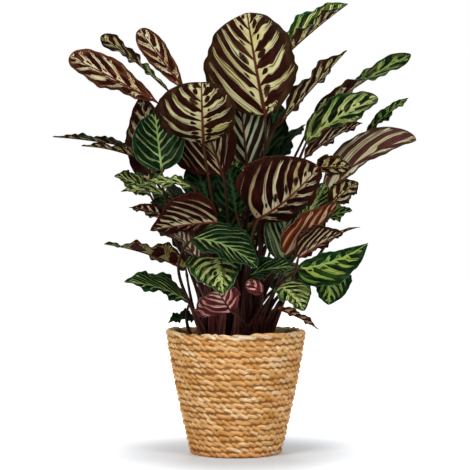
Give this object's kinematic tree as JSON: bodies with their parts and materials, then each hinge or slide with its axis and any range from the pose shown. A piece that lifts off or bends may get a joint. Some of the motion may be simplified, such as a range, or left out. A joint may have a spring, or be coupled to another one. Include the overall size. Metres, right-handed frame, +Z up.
{
  "type": "potted foliage plant",
  "caption": "Leafy houseplant of broad striped leaves on thin stalks, potted in a tapered basket of coiled rope.",
  "frame": {"origin": "centre of the basket's flat underside, on the surface it stands on", "axes": "+Z up, -Y towards the front of the plant, +X to its right in the front view"},
  "size_m": [0.5878, 0.4133, 0.7409],
  "materials": {
    "seagrass": "dry woven plant fibre",
    "black_plastic": "matt",
    "potting_soil": "damp crumbs",
    "leaf": "satin leaf"
  },
  "bodies": {
    "root": {"basket": "seagrass", "nursery_pot": "black_plastic", "potting_soil": "potting_soil", "leaf_mid_1": "leaf", "leaf_mid_2": "leaf", "leaf_mid_3": "leaf", "leaf_mid_4": "leaf", "leaf_mid_5": "leaf", "leaf_mid_6": "leaf", "leaf_mid_7": "leaf", "leaf_mid_8": "leaf", "leaf_mid_9": "leaf", "leaf_left_1": "leaf", "leaf_left_2": "leaf", "leaf_left_3": "leaf", "leaf_left_4": "leaf", "leaf_left_5": "leaf", "leaf_left_6": "leaf", "leaf_left_7": "leaf", "leaf_left_8": "leaf", "leaf_left_10": "leaf", "leaf_left_11": "leaf", "leaf_left_12": "leaf", "leaf_left_14": "leaf", "leaf_low_1": "leaf", "leaf_low_2": "leaf", "leaf_low_3": "leaf", "leaf_low_4": "leaf", "leaf_low_5": "leaf", "leaf_low_6": "leaf", "leaf_low_7": "leaf", "leaf_low_8": "leaf", "leaf_low_9": "leaf", "leaf_low_10": "leaf", "leaf_low_11": "leaf", "leaf_right_1": "leaf", "leaf_right_2": "leaf", "leaf_right_4": "leaf", "leaf_right_5": "leaf", "leaf_right_6": "leaf", "leaf_right_7": "leaf", "leaf_right_8": "leaf", "leaf_right_9": "leaf", "leaf_right_10": "leaf", "leaf_right_11": "leaf", "leaf_right_12": "leaf", "leaf_right_13": "leaf", "leaf_right_14": "leaf", "leaf_back_1": "leaf", "leaf_back_2": "leaf", "leaf_back_3": "leaf", "leaf_back_4": "leaf", "leaf_back_5": "leaf", "leaf_back_6": "leaf", "leaf_back_7": "leaf", "leaf_back_8": "leaf", "leaf_back_9": "leaf", "leaf_back_10": "leaf", "leaf_back_11": "leaf", "leaf_back_12": "leaf"}
  },
  "joints": []
}
